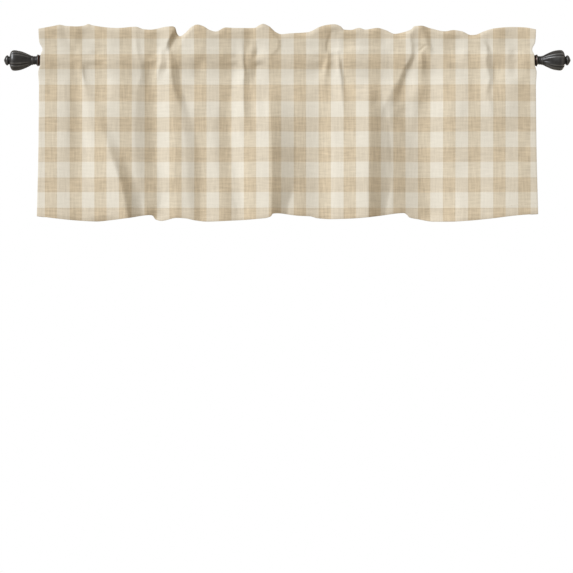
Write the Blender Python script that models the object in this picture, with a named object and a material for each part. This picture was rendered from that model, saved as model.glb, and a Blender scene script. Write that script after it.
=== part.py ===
"""A gathered window valance of one length of cloth, hung by its rod pocket on a curtain rod with two finials.

Metres, +Z up. The origin is on the rod's axis, halfway along it. +X runs along the rod, and the room is at -Y.
"""

import math
from collections import namedtuple

import bmesh
import bpy
from mathutils import Vector

# The rod and what is fitted to its ends
ROD_RADIUS = 0.0127
ROD_HALF_LENGTH = 0.6057
SEAT_GAP = 0.0003
COLLAR_RADIUS = 0.0145
COLLAR_RIM = 0.0030
COLLAR_LENGTH = 0.0097
NECK_RADIUS = 0.0100
FINIAL_START = ROD_HALF_LENGTH + COLLAR_LENGTH + 2 * SEAT_GAP
BEAD_LENGTH = 0.0070
BEAD_RADIUS = 0.0122
BULB_LENGTH = 0.0560
BULB_START_RADIUS = 0.0112
BULB_RADIUS = 0.0256
BULB_WIDEST = 0.72
BUTTON_LENGTH = 0.0138
BUTTON_RADIUS = 0.0122
PETALS = 5
GROOVE_DEPTH = 0.0030

# The cloth
CLOTH_HALF_WIDTH = 0.606
CLOTH_THICKNESS = 0.0012
LAYER_GAP = 0.0014
HEADER_TOP = 0.080
HEADER_STITCH = 0.022
POCKET_END = -0.049
ROD_CLEARANCE = 0.0006
ROD_REACH = ROD_RADIUS + ROD_CLEARANCE + CLOTH_THICKNESS / 2
LOWER_SEAM_FORWARD = 0.007
FADE_LENGTH = 0.022
EDGE_REACH = 0.060
SLOPE_STEP = 0.004
MOST_SPREAD = 2.2
HELD_SHARE = 0.45

# How finely the cloth is divided
COLUMNS = 82
COLUMN_SAMPLES = 800
COLUMN_HEIGHTS = (0.05, -0.08, -0.22, -0.37)
SLOPE_WEIGHT = 0.8
SKIRT_ROWS = 7
POCKET_ROWS = 2
ROUND_ROD_ANGLES = (-38, -12, 14, 40, 64)
HEADER_ROWS = 3

# How finely the turned pieces are divided
ROD_SEGMENTS = 32
COLLAR_SEGMENTS = 32
COLLAR_ROWS = 4
FINIAL_SEGMENTS = 40
BEAD_ROWS = 4
BULB_ROWS = 12
BUTTON_ROWS = 5

# A fold or crease that runs from its upper end (x0, z0) to its lower end (x1, z1), bowed sideways between them.
# left and right are the widths of its flanks, rise0 and rise1 how far it stands forward at its ends (a valley
# is negative), peak its crest (1 is sharp, 2 is round), and lean how far it tips sideways for each metre forward.
Fold = namedtuple("Fold", "x0 z0 x1 z1 bow left right rise0 rise1 peak lean")

SKIRT_FOLDS = (
    Fold(-0.575, -0.040, -0.572, -0.40, 0.000, 0.045, 0.070, 0.003, 0.009, 2.0, 0.0),
    Fold(-0.505, -0.040, -0.430, -0.40, -0.008, 0.060, 0.084, 0.008, 0.024, 1.5, 0.0),
    Fold(-0.350, -0.012, -0.348, -0.40, 0.000, 0.050, 0.026, -0.006, -0.018, 1.7, 0.0),
    Fold(-0.308, -0.030, -0.292, -0.40, 0.000, 0.034, 0.070, 0.009, 0.023, 1.6, -0.2),
    Fold(-0.268, -0.005, -0.222, -0.40, 0.012, 0.026, 0.032, -0.006, -0.006, 1.6, 0.0),
    Fold(-0.170, -0.110, -0.145, -0.40, 0.000, 0.040, 0.030, -0.003, -0.008, 2.0, 0.0),
    Fold(-0.045, -0.070, -0.056, -0.40, 0.000, 0.105, 0.028, 0.006, 0.026, 1.2, 0.55),
    Fold(-0.006, -0.060, -0.016, -0.40, 0.000, 0.034, 0.050, -0.004, -0.015, 1.6, 0.0),
    Fold(0.056, -0.050, 0.060, -0.40, 0.000, 0.040, 0.026, -0.003, -0.006, 1.5, 0.0),
    Fold(0.192, -0.050, 0.186, -0.40, 0.000, 0.110, 0.028, 0.010, 0.024, 1.2, 0.55),
    Fold(0.232, -0.060, 0.224, -0.40, 0.000, 0.030, 0.052, -0.006, -0.015, 1.6, 0.0),
    Fold(0.300, -0.110, 0.315, -0.40, 0.000, 0.030, 0.030, -0.001, -0.007, 1.6, 0.0),
    Fold(0.395, -0.060, 0.425, -0.40, 0.000, 0.080, 0.040, 0.012, 0.015, 1.4, 0.0),
    Fold(0.482, -0.060, 0.520, -0.40, 0.000, 0.040, 0.060, 0.008, 0.012, 1.6, 0.0),
)

POCKET_FOLDS = (
    Fold(-0.540, 0.075, -0.545, 0.020, 0.000, 0.024, 0.024, -0.005, -0.005, 2.0, 0.0),
    Fold(-0.498, 0.078, -0.500, 0.020, 0.000, 0.026, 0.026, 0.005, 0.006, 2.0, 0.0),
    Fold(-0.512, 0.024, -0.492, -0.064, 0.000, 0.024, 0.020, 0.006, 0.009, 1.5, 0.4),
    Fold(-0.362, 0.060, -0.352, -0.022, 0.000, 0.034, 0.026, -0.004, -0.006, 1.8, 0.0),
    Fold(-0.322, 0.075, -0.312, -0.046, 0.000, 0.028, 0.024, 0.007, 0.009, 1.8, 0.0),
    Fold(-0.280, 0.060, -0.270, -0.046, 0.000, 0.024, 0.022, -0.008, -0.007, 1.5, 0.0),
    Fold(-0.220, 0.075, -0.216, 0.018, 0.000, 0.036, 0.036, 0.005, 0.004, 2.0, 0.0),
    Fold(-0.168, 0.060, -0.158, -0.034, 0.000, 0.040, 0.040, -0.004, -0.006, 1.8, 0.0),
    Fold(-0.106, 0.045, -0.105, -0.146, 0.000, 0.024, 0.018, -0.006, -0.005, 1.5, 0.0),
    Fold(-0.056, 0.078, -0.068, -0.030, 0.000, 0.034, 0.026, 0.009, 0.008, 1.7, 0.3),
    Fold(0.020, 0.065, 0.024, 0.000, 0.000, 0.040, 0.040, 0.004, 0.003, 2.0, 0.0),
    Fold(0.092, 0.066, 0.094, 0.020, 0.000, 0.024, 0.022, -0.008, -0.007, 1.8, 0.0),
    Fold(0.118, 0.076, 0.138, -0.080, 0.006, 0.022, 0.020, 0.008, 0.006, 1.5, 0.4),
    Fold(0.200, 0.070, 0.205, 0.010, 0.000, 0.044, 0.036, 0.005, 0.003, 2.0, 0.0),
    Fold(0.262, 0.060, 0.262, 0.024, 0.000, 0.030, 0.024, -0.005, -0.003, 2.0, 0.0),
    Fold(0.300, 0.070, 0.256, -0.095, 0.000, 0.034, 0.020, 0.009, 0.008, 1.4, 0.5),
    Fold(0.342, 0.060, 0.336, 0.000, 0.000, 0.022, 0.024, -0.006, -0.005, 1.6, 0.0),
    Fold(0.390, 0.070, 0.392, 0.010, 0.000, 0.036, 0.036, 0.006, 0.004, 2.0, 0.0),
    Fold(0.445, 0.060, 0.450, 0.010, 0.000, 0.030, 0.026, -0.004, -0.004, 2.0, 0.0),
    Fold(0.486, 0.060, 0.506, -0.130, 0.006, 0.036, 0.020, 0.007, 0.006, 1.4, 0.5),
    Fold(0.560, 0.065, 0.556, 0.000, 0.000, 0.030, 0.026, -0.004, -0.003, 2.0, 0.0),
)

# Where the top edge of the frill dips (or rises, when drop is negative) from its mean height
Dip = namedtuple("Dip", "x drop left right")

TOP_DIPS = (
    Dip(-0.603, 0.008, 0.030, 0.030),
    Dip(-0.487, -0.006, 0.020, 0.030),
    Dip(-0.340, 0.008, 0.050, 0.050),
    Dip(-0.262, 0.022, 0.010, 0.030),
    Dip(-0.175, 0.013, 0.030, 0.028),
    Dip(-0.060, -0.006, 0.018, 0.016),
    Dip(-0.018, 0.018, 0.026, 0.080),
    Dip(0.110, -0.004, 0.040, 0.026),
    Dip(0.262, 0.014, 0.060, 0.036),
    Dip(0.320, -0.002, 0.016, 0.020),
    Dip(0.450, 0.018, 0.090, 0.050),
    Dip(0.555, -0.002, 0.040, 0.040),
)

# The lower edge's height, from left to right, with a row at each end of a step
Edge = namedtuple("Edge", "x z")

HEM_EDGE = (
    Edge(-0.606, -0.380),
    Edge(-0.530, -0.390),
    Edge(-0.440, -0.394),
    Edge(-0.385, -0.389),
    Edge(-0.335, -0.378),
    Edge(-0.318, -0.389),
    Edge(-0.265, -0.386),
    Edge(-0.185, -0.394),
    Edge(-0.100, -0.391),
    Edge(-0.052, -0.387),
    Edge(-0.030, -0.376),
    Edge(0.075, -0.387),
    Edge(0.180, -0.387),
    Edge(0.235, -0.379),
    Edge(0.285, -0.376),
    Edge(0.305, -0.388),
    Edge(0.350, -0.395),
    Edge(0.450, -0.394),
    Edge(0.520, -0.384),
    Edge(0.606, -0.376),
)

# How far out the side edges reach at each height, from the top down, drawn in by the stitching above the rod
SIDE_EDGE = (
    Edge(0.607, 0.080),
    Edge(0.605, 0.045),
    Edge(0.597, 0.025),
    Edge(0.602, 0.012),
    Edge(0.603, -0.010),
    Edge(0.608, -0.030),
    Edge(0.606, -0.066),
    Edge(0.607, -0.210),
    Edge(0.611, -0.390),
)


def smooth(t):
    t = min(max(t, 0.0), 1.0)
    return t * t * (3 - 2 * t)


def mix(a, b, t):
    return a + (b - a) * t


def crest(distance, left, right, peak):
    """The share of a fold's rise that is left at this sideways distance from its crest."""
    q = abs(distance) / (left if distance < 0 else right)
    return (1 - q**peak) ** 2 if q < 1 else 0.0


def fold_rise(fold, x, z):
    """How far one fold pushes the cloth forward at (x, z)."""
    along = min(max((fold.z0 - z) / (fold.z0 - fold.z1), 0.0), 1.0)
    past_end = max(z - fold.z0, fold.z1 - z, 0.0)
    middle = mix(fold.x0, fold.x1, along) + 4 * fold.bow * along * (1 - along)
    rise = mix(fold.rise0, fold.rise1, smooth(along)) * (1 - smooth(past_end / FADE_LENGTH))
    return rise * crest(x - middle, fold.left, fold.right, fold.peak)


def top_height(x):
    return HEADER_TOP - sum(dip.drop * crest(x - dip.x, dip.left, dip.right, 2.0) for dip in TOP_DIPS)


def hem_height(x):
    for a, b in zip(HEM_EDGE, HEM_EDGE[1:]):
        if x <= b.x:
            return mix(a.z, b.z, smooth((x - a.x) / (b.x - a.x)))
    return HEM_EDGE[-1].z


def side_reach(z):
    for a, b in zip(SIDE_EDGE, SIDE_EDGE[1:]):
        if z >= b.z:
            return mix(a.x, b.x, smooth((a.z - z) / (a.z - b.z)))
    return SIDE_EDGE[-1].x


def pocket_depth(z, seam):
    """How far each layer stands from the rod's axis plane: straight from a row of stitching, where it is the
    seam's half thickness, to where it touches the rod, and round the rod from there."""
    stitching = HEADER_STITCH if z > 0 else -POCKET_END
    if abs(z) >= stitching:
        return seam
    touch = math.asin(ROD_REACH / math.hypot(seam, stitching)) - math.atan2(seam, stitching)
    if abs(z) > ROD_REACH * math.sin(touch):
        return seam + (stitching - abs(z)) * math.tan(touch)
    return math.sqrt(ROD_REACH**2 - z**2)


def rod_depth(z):
    """How far a layer has to stay from the axis plane to clear the rod."""
    return math.sqrt(ROD_REACH**2 - z**2) if abs(z) < ROD_REACH else -math.inf


def rise_at(x, z):
    return sum(fold_rise(fold, x, z) for fold in SKIRT_FOLDS + POCKET_FOLDS)


def lean_at(x, z):
    return sum(fold.lean * max(fold_rise(fold, x, z), 0.0) for fold in SKIRT_FOLDS + POCKET_FOLDS)


def held_by_stitching(z):
    """How much the back layer follows the front's folds: fully at both rows of stitching and above the upper
    one, and less over HELD_SHARE of the way to the rod's axis, behind which it lies flat."""
    stitching = HEADER_STITCH if z > 0 else POCKET_END
    if z / stitching >= 1:
        return 1.0
    return smooth(1 - (1 - z / stitching) / HELD_SHARE)


def cloth_point(x, z, layer):
    """The middle of the cloth's thickness: layer -1 is the front, 1 the back. Where the folds are steep the
    layers' middles stand further apart, so that the gap between them stays."""
    rise = rise_at(x, z)
    slope = (rise_at(x + SLOPE_STEP, z) - rise_at(x - SLOPE_STEP, z)) / (2 * SLOPE_STEP)
    seam = (CLOTH_THICKNESS + LAYER_GAP) / 2 * min(math.hypot(1, slope), MOST_SPREAD)
    depth = pocket_depth(z, seam)
    held = held_by_stitching(z)
    forward = LOWER_SEAM_FORWARD * smooth(z / POCKET_END)
    back_depth = max(depth - forward - rise * held, rod_depth(z))
    if layer > 0:
        y = back_depth
    elif z < POCKET_END:
        y = -(depth + forward + rise)
    else:
        y = -max(depth + forward + rise, rod_depth(z), 2 * seam - back_depth)
    lean = lean_at(x, z) * (held if layer > 0 else 1.0)
    edge = smooth((abs(x) - CLOTH_HALF_WIDTH + EDGE_REACH) / EDGE_REACH)
    outward = math.copysign(1, x) * edge * (side_reach(z) - CLOTH_HALF_WIDTH)
    return Vector((x + lean + outward, y, z))


def steps(first, last, count):
    return [mix(first, last, i / count) for i in range(count)]


def pocket_levels():
    """The pocket's rows, from the lower stitching up: even below the rod, then by angle round it."""
    round_rod = [ROD_REACH * math.sin(math.radians(angle)) for angle in ROUND_ROD_ANGLES]
    return steps(POCKET_END, round_rod[0], POCKET_ROWS) + round_rod


def cloth_column(x):
    """The cloth's length at x: up the front from the hem, over the top fold, and down the back."""
    hem = hem_height(x)
    top = top_height(x)
    fold_radius = (CLOTH_THICKNESS + LAYER_GAP) / 2
    header = steps(HEADER_STITCH, top, HEADER_ROWS) + [top]
    front = steps(hem, POCKET_END, SKIRT_ROWS) + pocket_levels() + header
    back = header[::-1] + pocket_levels()[::-1]
    ridge = (cloth_point(x, top, -1) + cloth_point(x, top, 1)) / 2 + Vector((0, 0, fold_radius))
    return [cloth_point(x, z, -1) for z in front] + [ridge] + [cloth_point(x, z, 1) for z in back]


def column_places():
    """Where the columns stand, closer together where the cloth slopes most at COLUMN_HEIGHTS."""
    samples = steps(-CLOTH_HALF_WIDTH, CLOTH_HALF_WIDTH, COLUMN_SAMPLES) + [CLOTH_HALF_WIDTH]
    travelled = [0.0]
    for near, far in zip(samples, samples[1:]):
        climb = sum(abs(rise_at(far, z) - rise_at(near, z)) for z in COLUMN_HEIGHTS)
        travelled.append(travelled[-1] + far - near + SLOPE_WEIGHT * climb)
    places = []
    for wanted in steps(0.0, travelled[-1], COLUMNS) + [travelled[-1]]:
        nearest = min(range(len(travelled)), key=lambda i: abs(travelled[i] - wanted))
        places.append(samples[nearest])
    return places


def paint(name, colour, roughness, metallic):
    material = bpy.data.materials.new(name)
    material.use_nodes = True
    shader = material.node_tree.nodes["Principled BSDF"]
    shader.inputs["Base Color"].default_value = (*colour, 1)
    shader.inputs["Roughness"].default_value = roughness
    shader.inputs["Metallic"].default_value = metallic
    material.diffuse_color = (*colour, 1)
    return material


def add_piece(name, shape, material):
    """Makes an object of a bmesh and shades it smooth."""
    mesh = bpy.data.meshes.new(name)
    bmesh.ops.recalc_face_normals(shape, faces=shape.faces[:])
    shape.to_mesh(mesh)
    shape.free()
    mesh.shade_smooth()
    mesh.set_sharp_from_angle(angle=math.radians(40))
    mesh.materials.append(material)
    piece = bpy.data.objects.new(name, mesh)
    bpy.context.scene.collection.objects.link(piece)
    return piece


def add_cloth(material):
    shape = bmesh.new()
    columns = [[shape.verts.new(point) for point in cloth_column(x)] for x in column_places()]
    top_row = SKIRT_ROWS + len(pocket_levels()) + HEADER_ROWS
    for left, right in zip(columns, columns[1:]):
        for row in range(len(left) - 1):
            a, b, c, d = left[row], right[row], right[row + 1], left[row + 1]
            # Both layers' faces are split the same way, so that they stay parallel
            halves = ((a, b, c), (a, c, d)) if row <= top_row else ((a, b, d), (b, c, d))
            for half in halves:
                shape.faces.new(half)
    cloth = add_piece("valance_cloth", shape, material)
    solid = cloth.modifiers.new("Thickness", "SOLIDIFY")
    solid.thickness = CLOTH_THICKNESS
    solid.offset = 0
    return cloth


def add_turned(name, profile, segments, material, flute=None):
    """Turns a profile of (x, radius) rows about the rod's axis, its radii cut in by flute(x, angle)."""
    shape = bmesh.new()
    rings = []
    for x, radius in profile:
        ring = []
        for i in range(segments):
            angle = 2 * math.pi * i / segments
            r = radius - (flute(x, angle) if flute else 0.0)
            ring.append(shape.verts.new((x, r * math.cos(angle), r * math.sin(angle))))
        rings.append(ring)
    for near, far in zip(rings, rings[1:]):
        for i in range(segments):
            j = (i + 1) % segments
            shape.faces.new((near[i], near[j], far[j], far[i]))
    shape.faces.new(rings[0])
    shape.faces.new(rings[-1])
    return add_piece(name, shape, material)



def bulb_radius(t):
    """The bulb swells to its widest at BULB_WIDEST of its length, then rounds over to the button."""
    if t < BULB_WIDEST:
        swell = math.sin(math.pi / 2 * t / BULB_WIDEST) ** 0.9
        return mix(BULB_START_RADIUS, BULB_RADIUS, swell)
    shoulder = 0.94 * (t - BULB_WIDEST) / (1 - BULB_WIDEST)
    return BULB_RADIUS * math.sqrt(1 - shoulder**4)


def finial_profile():
    """(x, radius) rows of a finial along +X, from its seat on the collar: bead, bulb and button."""
    rows = []
    for i in range(BEAD_ROWS + 1):
        angle = math.pi * i / BEAD_ROWS
        x = FINIAL_START + BEAD_LENGTH * i / BEAD_ROWS
        rows.append((x, mix(BULB_START_RADIUS, BEAD_RADIUS, math.sin(angle))))
    for i in range(1, BULB_ROWS + 1):
        t = i / BULB_ROWS
        rows.append((FINIAL_START + BEAD_LENGTH + BULB_LENGTH * t, bulb_radius(t)))
    for i in range(BUTTON_ROWS + 1):
        angle = math.pi / 2 * i / BUTTON_ROWS
        x = FINIAL_START + BEAD_LENGTH + BULB_LENGTH + BUTTON_LENGTH * (0.15 + 0.85 * math.sin(angle))
        rows.append((x, BUTTON_RADIUS * math.cos(0.93 * angle)))
    return rows


def petal_groove(x, angle):
    """The groove between two petals of the bulb, deepest at its widest and gone at both its ends."""
    t = (abs(x) - FINIAL_START - BEAD_LENGTH) / BULB_LENGTH
    if not 0 < t < 1:
        return 0.0
    return GROOVE_DEPTH * math.sin(math.pi * t) ** 0.5 * (1 - abs(math.cos(PETALS * angle / 2)))


def collar_profile():
    """(x, radius) rows of the flared collar, from the rod's end outwards."""
    start = ROD_HALF_LENGTH + SEAT_GAP
    rows = [(start, COLLAR_RADIUS), (start + COLLAR_RIM, COLLAR_RADIUS)]
    for i in range(1, COLLAR_ROWS + 1):
        t = i / COLLAR_ROWS
        x = mix(start + COLLAR_RIM, start + COLLAR_LENGTH, t)
        rows.append((x, mix(COLLAR_RADIUS, NECK_RADIUS, math.sin(math.pi / 2 * t))))
    return rows


def mirrored(profile):
    return [(-x, radius) for x, radius in profile]


def main():
    for old in list(bpy.data.objects):
        bpy.data.objects.remove(old, do_unlink=True)

    linen = paint("beige_linen", (0.69, 0.60, 0.47), 0.9, 0.0)
    bronze = paint("dark_bronze", (0.025, 0.024, 0.022), 0.4, 0.8)

    add_cloth(linen)
    rod_ends = [(-ROD_HALF_LENGTH, ROD_RADIUS), (ROD_HALF_LENGTH, ROD_RADIUS)]
    add_turned("curtain_rod", rod_ends, ROD_SEGMENTS, bronze)
    for side, facing in (("left", mirrored), ("right", list)):
        add_turned(side + "_rod_collar", facing(collar_profile()), COLLAR_SEGMENTS, bronze)
        add_turned(side + "_finial", facing(finial_profile()), FINIAL_SEGMENTS, bronze, petal_groove)


main()
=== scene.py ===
"""The looks of a gathered window valance on its curtain rod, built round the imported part.

Metres, +Z up. The origin is on the rod's axis, halfway along it. +X runs along the rod, and -Y points into
the room.
"""

import math
from collections import namedtuple

import bmesh
import bpy
import numpy as np
from mathutils import Matrix, Vector


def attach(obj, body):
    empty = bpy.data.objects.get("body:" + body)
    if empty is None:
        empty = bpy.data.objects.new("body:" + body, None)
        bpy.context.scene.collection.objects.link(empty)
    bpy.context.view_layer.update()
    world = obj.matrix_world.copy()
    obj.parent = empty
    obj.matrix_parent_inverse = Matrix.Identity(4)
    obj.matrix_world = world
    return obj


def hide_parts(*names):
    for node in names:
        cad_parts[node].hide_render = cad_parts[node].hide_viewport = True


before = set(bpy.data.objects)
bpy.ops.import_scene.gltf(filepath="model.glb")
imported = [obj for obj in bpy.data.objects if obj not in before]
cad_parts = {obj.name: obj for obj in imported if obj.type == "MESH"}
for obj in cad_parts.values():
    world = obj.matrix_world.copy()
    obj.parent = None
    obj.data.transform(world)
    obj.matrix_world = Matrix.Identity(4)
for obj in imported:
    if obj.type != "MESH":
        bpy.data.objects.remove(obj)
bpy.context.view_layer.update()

collection = bpy.context.scene.collection


def linear(hex_colour):
    """The linear colour, with alpha 1, of an sRGB hex value such as #e8e1d3."""
    parts = [int(hex_colour[i : i + 2], 16) / 255 for i in (1, 3, 5)]
    return (*[p / 12.92 if p <= 0.04045 else ((p + 0.055) / 1.055) ** 2.4 for p in parts], 1.0)


def node(tree, kind, inputs=None, **settings):
    """Adds a node, sets its settings, and links or sets its inputs. An input is named or numbered."""
    made = tree.nodes.new("ShaderNode" + kind)
    for key, value in settings.items():
        setattr(made, key, value)
    for key, value in (inputs or {}).items():
        if isinstance(value, bpy.types.NodeSocket):
            tree.links.new(value, made.inputs[key])
        else:
            made.inputs[key].default_value = value
    return made


def new_material(name):
    """A material with no nodes yet, and its node tree."""
    material = bpy.data.materials.new(name)
    material.use_nodes = True
    material.node_tree.nodes.clear()
    return material, material.node_tree


def add_piece(name, shape, material):
    """Puts a finished shape in the scene as a piece of this material."""
    mesh = bpy.data.meshes.new(name)
    shape.to_mesh(mesh)
    shape.free()
    mesh.materials.append(material)
    piece = bpy.data.objects.new(name, mesh)
    collection.objects.link(piece)
    return piece


def table(kind, *rows):
    """Rows of one kind in metres, from rows in millimetres."""
    return [kind(*(size / 1000 for size in row)) for row in rows]


# -----------------------------------------------------------------------------
# Camera. It stands level in the room, 7.2 m from the rod and 0.55 m below it, at the middle of the valance,
# which so lies in the upper part of a square view.

CAMERA_SIDE = -0.002
CAMERA_DISTANCE = 7.2
CAMERA_HEIGHT = -0.553
VIEW_WIDTH = 1.398
CLOTH_FACE = -0.018  # where the view is that wide

camera_data = bpy.data.cameras.new("camera")
camera_data.lens = camera_data.sensor_width * (CAMERA_DISTANCE + CLOTH_FACE) / VIEW_WIDTH
camera = bpy.data.objects.new("camera", camera_data)
camera.location = (CAMERA_SIDE, -CAMERA_DISTANCE, CAMERA_HEIGHT)
camera.rotation_euler = (math.radians(90), 0, 0)
collection.objects.link(camera)
bpy.context.scene.camera = camera


# -----------------------------------------------------------------------------
# Light. Soft daylight from the upper left, as from a wide window, filled in by warm pale walls all round, so
# that shaded folds look warmer than lit ones, with a white ground behind the valance. A weaker lamp shines on
# its back from behind and a little below, where it lights nothing that faces the front.

WALL_GLOW = 0.44

bpy.context.scene.view_settings.view_transform = "Standard"
world = bpy.data.worlds.new("pale_room")
bpy.context.scene.world = world
world.use_nodes = True
sky = world.node_tree
sky.nodes.clear()
lit_by_walls = node(sky, "Background", {"Color": linear("#fff3e0"), "Strength": WALL_GLOW})
white_ground = node(sky, "Background", {"Color": linear("#ffffff"), "Strength": 1.0})
seen = node(sky, "LightPath").outputs["Is Camera Ray"]
either = node(sky, "MixShader", {0: seen, 1: lit_by_walls.outputs[0], 2: white_ground.outputs[0]})
node(sky, "OutputWorld", {"Surface": either.outputs[0]})


def add_lamp(name, colour, strength, width, towards):
    """A far lamp that looks this many degrees wide from the valance, and shines in one direction."""
    lamp = bpy.data.lights.new(name, "SUN")
    lamp.energy = strength
    lamp.angle = math.radians(width)
    lamp.color = linear(colour)[:3]
    placed = bpy.data.objects.new(name, lamp)
    placed.rotation_euler = Vector(towards).to_track_quat("-Z", "Y").to_euler()
    collection.objects.link(placed)


add_lamp("window_daylight", "#fafcff", strength=2.83, width=18, towards=(0.633, 0.591, -0.50))
add_lamp("room_fill", "#fff8ee", strength=1.3, width=25, towards=(-0.3, -1.0, 0.14))


# -----------------------------------------------------------------------------
# Floor. A faint pale painted studio floor a little below the view, which fades out into the white ground.
# It isn't part of the object.

FLOOR_LEVEL = -1.42
FLOOR_HALF = 1.7
FLOOR_FADE = {"From Min": 0.7, "From Max": 1.6}  # how far from the origin it starts and ends

floor_paint, tree = new_material("pale_floor_paint")
where = node(tree, "TexCoord").outputs["Object"]
away = node(tree, "VectorMath", {0: where}, operation="LENGTH").outputs["Value"]
fade = node(tree, "MapRange", {"Value": away, **FLOOR_FADE}, interpolation_type="SMOOTHSTEP")
painted = node(tree, "BsdfPrincipled", {"Base Color": linear("#f7f6f3"), "Roughness": 0.75})
clear = node(tree, "BsdfTransparent")
blend = node(tree, "MixShader", {0: fade.outputs[0], 1: painted.outputs[0], 2: clear.outputs[0]})
node(tree, "OutputMaterial", {"Surface": blend.outputs[0]})

floor_shape = bmesh.new()
bmesh.ops.create_grid(floor_shape, x_segments=2, y_segments=2, size=FLOOR_HALF)
bmesh.ops.translate(floor_shape, vec=(0, 0, FLOOR_LEVEL), verts=floor_shape.verts)
floor = add_piece("studio_floor", floor_shape, floor_paint)


# -----------------------------------------------------------------------------
# The valance. One length of yarn-dyed checked cloth, hemmed at its sides and its lower edge. Its top is
# folded over to the back and stitched twice, which makes a standing frill above a pocket that the rod fills,
# and it is gathered along the rod into uneven folds.

# How it is sewn.
THICKNESS = 0.0006
LAYERS_APART = 0.0026
HALF_WIDTH = 0.606
HEADER_TOP = 0.080
HEADER_STITCH = 0.022
POCKET_END = -0.049
HEM_DEPTH = 0.028
SIDE_HEM = 0.013
TURN_GAP = 0.0009  # from the cloth to the hem turned over behind it
CORNER_LAYERS = 2  # how many gaps further back the lower hem lies over a side hem
CORNER_EASE = 0.008
WIDE_BAR = (-0.100, -0.061)  # the bar below the pocket, which is a little wider than the rest
WIDE_BAR_EXTRA = 0.0056

# How it hangs.
ROD_REACH = 0.0139  # from the rod's axis to the middle of a layer that touches the rod
LEAVE_ANGLE = math.radians(64)  # how far round the rod a layer bends before it runs straight on
ROUNDING = 0.0012  # of the corner where one depth takes over from another
EDGE_REACH = 0.060  # how far in from a side edge its wander is felt
SLOPE_STEP = 0.0015
MOST_SPREAD = 2.2  # how much further apart the layers may stand on a steep slope
HELD_SHARE = 0.45  # how much of the way from the stitching to the rod the back follows the front
FADE_LENGTH = 0.014  # how far a fold runs on past its last station
TOP_ROLL = 0.009  # how much of the frill's top rolls back
TOP_ROLL_BACK = 0.0022  # how far back it rolls

# The columns and rows of its mesh.
COLUMNS = 400
SIDE_HEM_COLUMNS = 4
SKIRT_ROWS = 40
POCKET_ROWS = 16
HEADER_ROWS = 20
BACK_POCKET_ROWS = 8
BACK_HEADER_ROWS = 9
HEM_ROWS = 4
TURN_ANGLES = (45, 90, 135)
HEM_TURN_SHARE = 0.01  # the share of the lower hem that its round turn takes
SIDE_TURN_SHARE = 0.02
LINE_SAMPLES = 4001
# Heights, and how strongly the slopes there draw the columns together.
FOLD_WEIGHTS = ((0.06, 0.5), (0.035, 0.6), (0.0, 0.6), (-0.04, 0.6), (-0.1, 0.6), (-0.25, 0.5), (-0.38, 0.7))
EDGE_WEIGHT = 0.8


# A fold, followed down the cloth by its stations. At each height z its crest lies at x, its flanks are left
# and right wide, and it stands forward by rise (a valley is negative). crest is how round it is on top (1 is
# sharp, 2 is round), foot how softly its flanks end, and lean how far it tips sideways for each metre
# forward.
Fold = namedtuple("Fold", "crest foot lean stations")
At = namedtuple("At", "z x left right rise")
FOLDS = []


def add_fold(crest, foot, lean, *stations):
    """Adds a fold. Each of its stations is a row of z, x, left, right and rise in millimetres."""
    FOLDS.append(Fold(crest, foot, lean, table(At, *stations)))


# The soft swell beside the left edge.
add_fold(
    2, 2, 0,
    (-34, -555, 44, 39, 0), (-73, -555, 44, 39, 1.5), (-220, -555, 44, 44, 3), (-381, -559, 44, 59, 3.5),
)
# The shallow valley to the left of the long slanting fold.
add_fold(
    1.8, 2, 0,
    (34, -513, 24, 20, 0), (15, -509, 24, 20, -1.6), (-5, -508, 27, 17, -3), (-24, -508, 29, 20, -3),
    (-73, -511, 34, 24, -4.5), (-159, -507, 37, 29, -5), (-207, -501, 41, 29, -4), (-244, -496, 44, 29, -2.4),
    (-288, -491, 44, 29, -1), (-342, -486, 44, 29, 0),
)
# The long slanting fold, which grows towards the hem.
add_fold(
    1.15, 1.6, 0,
    (-68, -484, 39, 15, 0), (-93, -477, 39, 15, 1.2), (-127, -464, 49, 17, 2), (-159, -455, 59, 20, 3.4),
    (-195, -442, 73, 27, 6.5), (-220, -435, 93, 29, 11.5), (-256, -421, 112, 33, 17.5),
    (-293, -409, 127, 38, 21.5), (-329, -399, 137, 41, 23.5), (-386, -389, 146, 41, 21.5),
)
# The valley between it and the first rib.
add_fold(
    1.6, 1.4, 0,
    (0, -337, 24, 24, 0), (-34, -333, 27, 34, -5.5), (-73, -325, 44, 44, -12), (-159, -323, 51, 49, -13.5),
    (-220, -320, 54, 49, -13.5), (-256, -318, 54, 44, -12.5), (-293, -313, 56, 41, -11),
    (-329, -308, 59, 39, -10), (-366, -315, 32, 44, -11), (-386, -318, 29, 44, -13),
)
# The valley below the long crease.
add_fold(
    1.4, 1.5, 0,
    (-59, -259, 20, 39, 0), (-90, -252, 20, 39, -4), (-127, -242, 22, 49, -5), (-159, -228, 29, 54, -6.5),
    (-220, -215, 34, 68, -8.5), (-281, -211, 37, 78, -9), (-342, -211, 32, 63, -7.5),
    (-386, -206, 29, 54, -7),
)
# The soft valley before the first pleat.
add_fold(
    1.7, 2, 0,
    (-59, -145, 22, 29, 0), (-85, -142, 24, 29, -2), (-159, -145, 37, 32, -5), (-220, -140, 44, 37, -8),
    (-281, -125, 54, 34, -9.5), (-342, -113, 59, 29, -8), (-386, -108, 59, 29, -7),
)
# The first pleat, which tips over to the right.
add_fold(
    1.05, 1.15, 0.35,
    (-20, -42, 59, 44, 0), (-49, -43, 61, 49, 1.4), (-73, -44, 68, 54, 4.4), (-90, -45, 73, 59, 7),
    (-127, -46, 83, 63, 13), (-171, -46, 93, 68, 18.5), (-244, -46, 98, 68, 22.5), (-305, -46, 93, 66, 22.5),
    (-354, -46, 78, 49, 19.5), (-386, -46, 73, 46, 18),
)
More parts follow.
